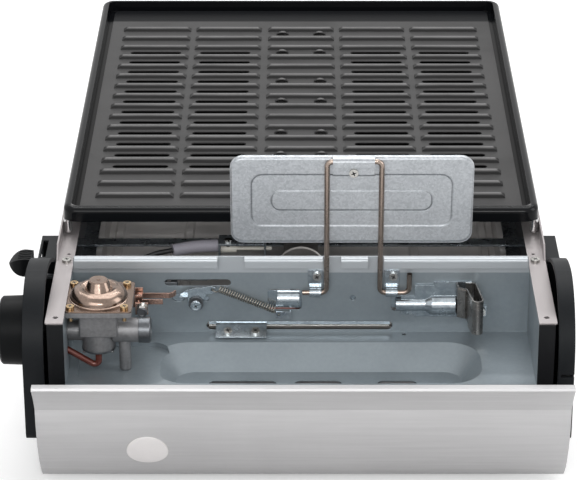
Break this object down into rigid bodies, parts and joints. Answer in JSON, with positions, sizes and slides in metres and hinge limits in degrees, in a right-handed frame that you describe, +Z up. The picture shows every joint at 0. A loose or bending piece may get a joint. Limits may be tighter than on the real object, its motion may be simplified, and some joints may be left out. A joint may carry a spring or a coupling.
{
  "type": "portable gas plancha grill",
  "caption": "Portable gas griddle: ridged hot plate on rails, open can bay with regulator and latch, folding shield, drip drawer and swinging front cover.",
  "frame": {"origin": "centre of the whole part's box at the level the feet stand on", "axes": "+Z up, +Y from the can bay towards the back of the hot plate, +X to the right seen from the front"},
  "size_m": [0.3414, 0.5458, 0.1902],
  "materials": {
    "housing_steel": "satin",
    "rail_steel": "satin",
    "bay_steel": "satin",
    "galvanised": "satin",
    "bright_screw": "polished",
    "spring_steel": "satin",
    "cover_steel": "satin",
    "badge_metal": "satin",
    "black_cover": "satin",
    "black_knob": "satin",
    "castalloy": "satin",
    "copper_plate": "polished",
    "zinc_cap": "satin",
    "gas_tube": "satin",
    "burner_steel": "satin",
    "ceramic_white": "satin",
    "red_sleeve": "satin",
    "wire_steel": "satin",
    "shield_steel": "satin",
    "plate_coating": "satin",
    "plate_pegs": "polished",
    "tray_enamel": "satin",
    "foot_steel": "satin",
    "foot_rubber": "satin"
  },
  "bodies": {
    "base": {"floor_plate": "housing_steel", "housing_wall_left": "housing_steel", "housing_wall_right": "housing_steel", "rear_wall": "housing_steel", "top_frame": "rail_steel", "rail_screws": "bright_screw", "bay_pan": "bay_steel", "cover_pivot_pins": "bright_screw", "side_cover_left": "black_cover", "side_cover_right": "black_cover", "corner_posts": "black_cover", "regulator_body": "castalloy", "regulator_cap": "copper_plate", "regulator_screws": "bright_screw", "inlet_cap": "zinc_cap", "locator_pin": "castalloy", "regulator_foot_plate": "zinc_cap", "gas_pipe": "gas_tube", "gas_jet": "copper_plate", "burner_tube": "burner_steel", "burner_straps": "galvanised", "burner_bracket": "galvanised", "lead_sleeve": "red_sleeve", "ignition_lead": "red_sleeve", "electrode": "ceramic_white", "latch_bolt": "bright_screw", "latch_spring": "spring_steel", "spring_lug": "galvanised", "trip_bracket": "copper_plate", "trip_bolt": "bright_screw", "lever_post": "bright_screw", "lever_bracket": "galvanised", "wire_clips": "galvanised", "slot_bracket": "galvanised", "bay_fasteners": "bright_screw", "tray_runners": "galvanised", "feet": "foot_steel", "foot_pads": "foot_rubber"},
    "cover": {"front_cover": "cover_steel", "cover_arms": "galvanised", "badge": "badge_metal"},
    "knob": {"gas_knob": "black_knob", "valve_spindle": "zinc_cap"},
    "slider": {"can_slider": "galvanised", "pusher_clip": "spring_steel", "pusher_screw": "bright_screw"},
    "lock_arm": {"lock_lever": "galvanised", "lock_handle": "black_knob"},
    "latch": {"latch_lever": "galvanised"},
    "trip": {"trip_lever": "copper_plate"},
    "heat_shield": {"shield_wire": "wire_steel", "shield_plate": "shield_steel", "shield_clamp": "shield_steel", "clamp_screw": "bright_screw"},
    "hot_plate": {"grill_plate": "plate_coating", "plate_feet": "plate_pegs"},
    "drawer": {"drip_tray": "tray_enamel", "tray_front": "tray_enamel"}
  },
  "joints": [
    {"name": "cover_hinge", "type": "hinge", "parent": "base", "child": "cover", "pos_m": [0.0093, -0.18345, 0.052], "axis": [1, 0, 0], "range_deg": [-29, 0]},
    {"name": "knob_turn", "type": "hinge", "parent": "base", "child": "knob", "pos_m": [-0.1607, -0.20545, 0.0886], "axis": [1, 0, 0], "range_deg": [0, 95]},
    {"name": "lock_swing", "type": "hinge", "parent": "base", "child": "lock_arm", "pos_m": [-0.0747, -0.13645, 0.0998], "axis": [0, 0, -1], "range_deg": [0, 10]},
    {"name": "can_push", "type": "slide", "parent": "base", "child": "slider", "axis": [-1, 0, 0], "range_m": [0, 0.0035]},
    {"name": "latch_pivot", "type": "hinge", "parent": "base", "child": "latch", "pos_m": [-0.0552, -0.16635, 0.0873], "axis": [0, -1, 0], "range_deg": [0, 12], "stiffness_Nm_per_rad": 0.02, "springref_deg": -28.65, "deforming": ["latch_spring"]},
    {"name": "trip_pivot", "type": "hinge", "parent": "base", "child": "trip", "pos_m": [-0.0891, -0.18345, 0.0994], "axis": [0, -1, 0], "range_deg": [0, 8]},
    {"name": "shield_fold", "type": "hinge", "parent": "base", "child": "heat_shield", "pos_m": [0.0413, -0.16665, 0.0945], "axis": [1, 0, 0], "range_deg": [0, 60]},
    {"name": "plate_lift", "type": "slide", "parent": "base", "child": "hot_plate", "axis": [0, 0, 1], "range_m": [0, 0.06]},
    {"name": "drawer_slide", "type": "slide", "parent": "base", "child": "drawer", "axis": [0, 1, 0], "range_m": [0, 0.25]}
  ],
  "couplings": [
    {"joint": "can_push", "follows": "lock_swing", "m_per_rad": 0.02}
  ]
}
